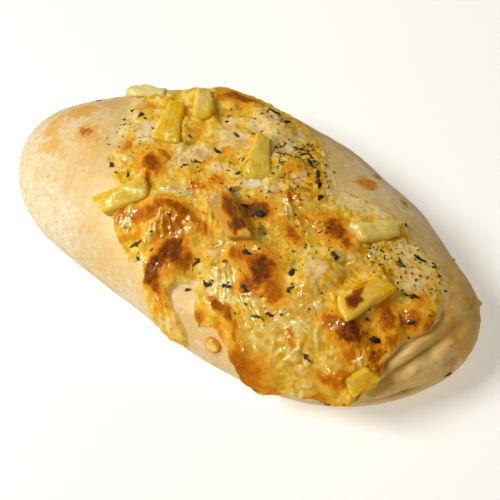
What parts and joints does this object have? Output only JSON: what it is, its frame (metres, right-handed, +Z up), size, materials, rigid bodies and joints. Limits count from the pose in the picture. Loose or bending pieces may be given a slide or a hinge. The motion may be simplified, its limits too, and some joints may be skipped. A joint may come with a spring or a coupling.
{
  "type": "ciabatta with melted cheese and pineapple",
  "caption": "Small oval ciabatta baked with a skin of browned melted cheese, pineapple wedges and dried herb flakes.",
  "frame": {"origin": "on the surface that the loaf rests on, under the middle of its outline", "axes": "+X along the loaf to its creased end, +Z up out of the topping"},
  "size_m": [0.2025, 0.1122, 0.0544],
  "materials": {
    "crust": "matte",
    "cheese": "gloss",
    "pineapple": "satin",
    "herb": "matte"
  },
  "bodies": {
    "root": {"bread": "crust", "cheese": "cheese", "cheese_drop": "cheese", "pineapple_1": "pineapple", "pineapple_2": "pineapple", "pineapple_3": "pineapple", "pineapple_4": "pineapple", "pineapple_5": "pineapple", "pineapple_6": "pineapple", "pineapple_7": "pineapple", "pineapple_8": "pineapple", "pineapple_9": "pineapple"}
  },
  "joints": []
}
